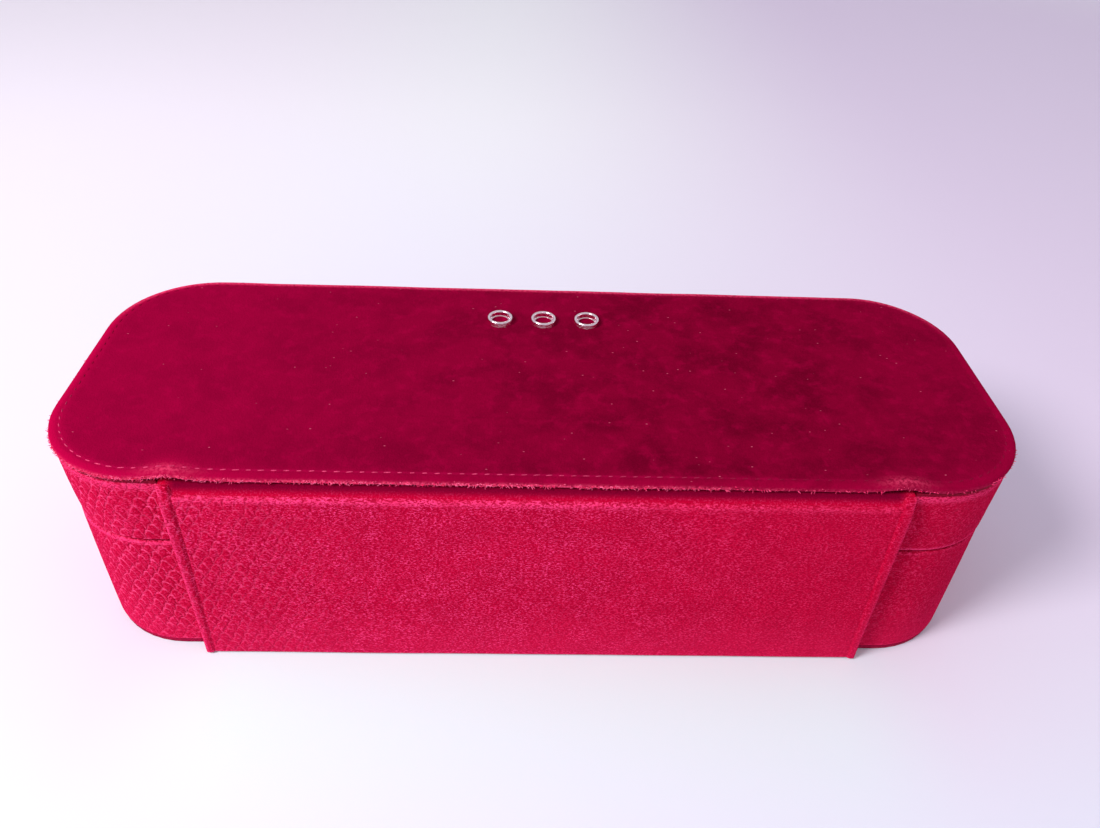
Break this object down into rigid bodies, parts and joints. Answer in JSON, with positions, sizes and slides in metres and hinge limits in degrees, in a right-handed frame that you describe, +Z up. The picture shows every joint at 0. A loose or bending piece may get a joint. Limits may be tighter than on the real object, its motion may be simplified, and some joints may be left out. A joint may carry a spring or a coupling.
{
  "type": "jewelry box",
  "caption": "Oblong velvet jewelry box with rounded ends, a lid hinged along the rear, a stiff magnetic front flap, ring rolls, end compartments and a lid mirror.",
  "frame": {"origin": "centre of the underside, on the surface the box stands on", "axes": "+X along the length, to the right seen from the flap side; +Y from the front flap to the rear hinge; +Z up"},
  "size_m": [0.28, 0.1032, 0.0748],
  "materials": {
    "velvet_top": "smooth crimson velvet",
    "velvet_embossed": "bright red velvet embossed with a scale pattern",
    "velvet_lining": "plain crimson lining velvet",
    "board": "grey-brown chipboard",
    "paper_base": "dark red cover paper on board",
    "magnet_steel": "plated disc magnet",
    "mirror_glass": "silvered glass with a ground edge",
    "polished_metal": "polished plating"
  },
  "bodies": {
    "base": {"bottom_panel": "paper_base", "base_board": "board", "base_wall": "velvet_embossed", "base_lining": "velvet_lining", "floor_pad": "velvet_lining", "base_magnet_left": "magnet_steel", "base_magnet_right": "magnet_steel", "divider_left": "velvet_lining", "divider_right": "velvet_lining", "ring_roll_1": "velvet_lining", "ring_roll_2": "velvet_lining", "ring_roll_3": "velvet_lining", "ring_roll_4": "velvet_lining", "ring_roll_5": "velvet_lining", "hinge_strip_lower": "velvet_embossed"},
    "lid": {"lid_wall": "velvet_embossed", "lid_board": "board", "lid_lining": "velvet_lining", "lid_pad": "velvet_lining", "lid_mirror": "mirror_glass", "panel_backing": "board", "top_panel": "velvet_top", "ring_stud_left": "polished_metal", "ring_stud_middle": "polished_metal", "ring_stud_right": "polished_metal", "flap_tongue": "velvet_embossed", "hinge_strip_upper": "velvet_embossed"},
    "flap": {"flap_cover": "velvet_embossed", "flap_board": "board", "flap_lining": "velvet_lining", "flap_magnet_left": "magnet_steel", "flap_magnet_right": "magnet_steel"}
  },
  "joints": [
    {"name": "lid_hinge", "type": "hinge", "parent": "base", "child": "lid", "pos_m": [0, 0.05, 0.0466], "axis": [-1, 0, 0], "range_deg": [0, 105]},
    {"name": "flap_hinge", "type": "hinge", "parent": "lid", "child": "flap", "pos_m": [0, -0.05, 0.07], "axis": [-1, 0, 0], "range_deg": [0, 120]}
  ]
}
